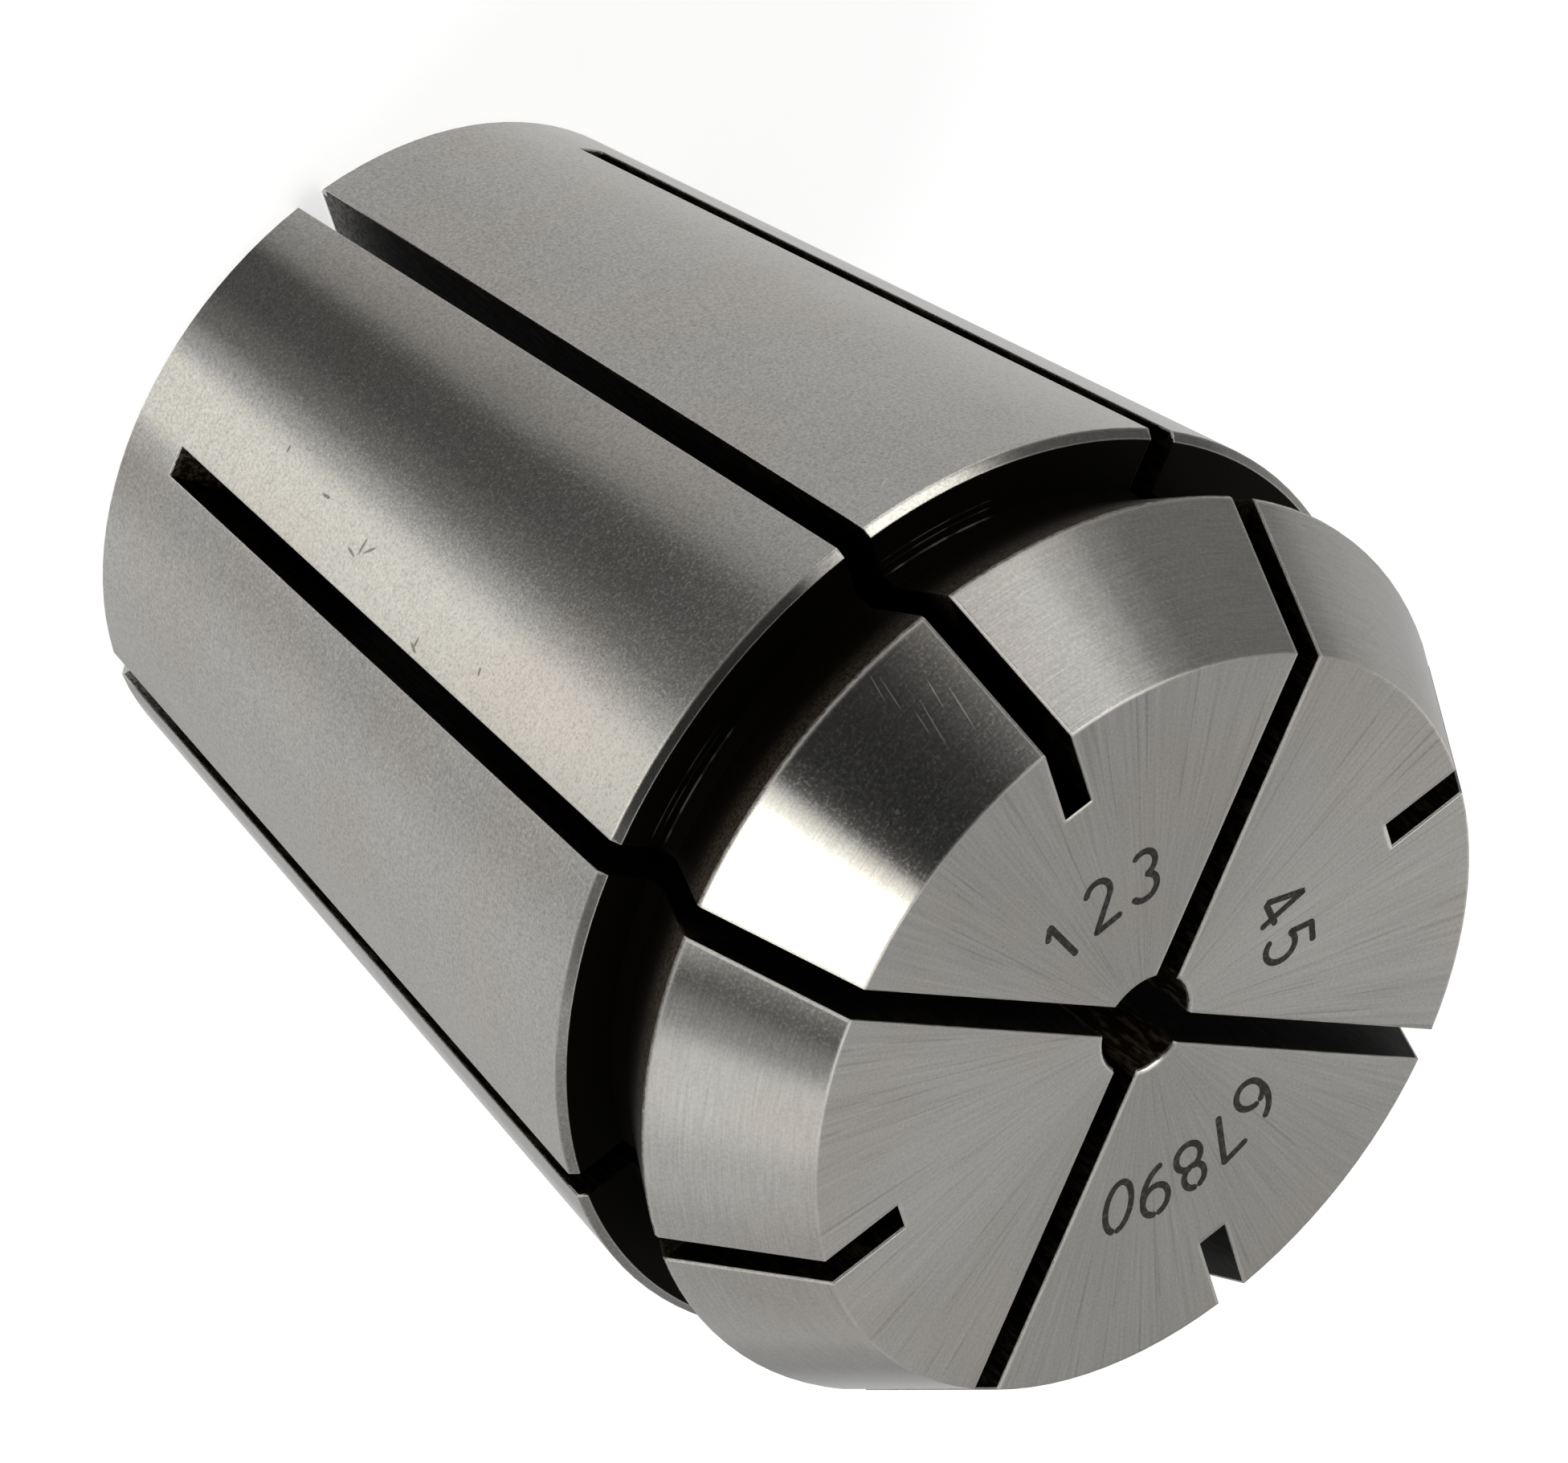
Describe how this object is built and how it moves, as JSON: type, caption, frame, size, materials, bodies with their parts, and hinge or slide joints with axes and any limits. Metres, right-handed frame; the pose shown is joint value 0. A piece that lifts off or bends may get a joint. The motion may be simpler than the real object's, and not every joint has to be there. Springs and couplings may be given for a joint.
{
  "type": "er collet",
  "caption": "Slotted spring collet with a tapered seat, extraction groove and conical nose, gripping a round tap shank and its square.",
  "frame": {"origin": "centre of the flat small end, which the collet stands on", "axes": "+Z along the collet's axis, from the small end to the nose face; +X and +Y through front slots"},
  "size_m": [0.0332, 0.0332, 0.04],
  "materials": {
    "ground_steel": "hardened steel, fine ground all over, turned face"
  },
  "bodies": {
    "root": {"collet": "ground_steel"}
  },
  "joints": []
}
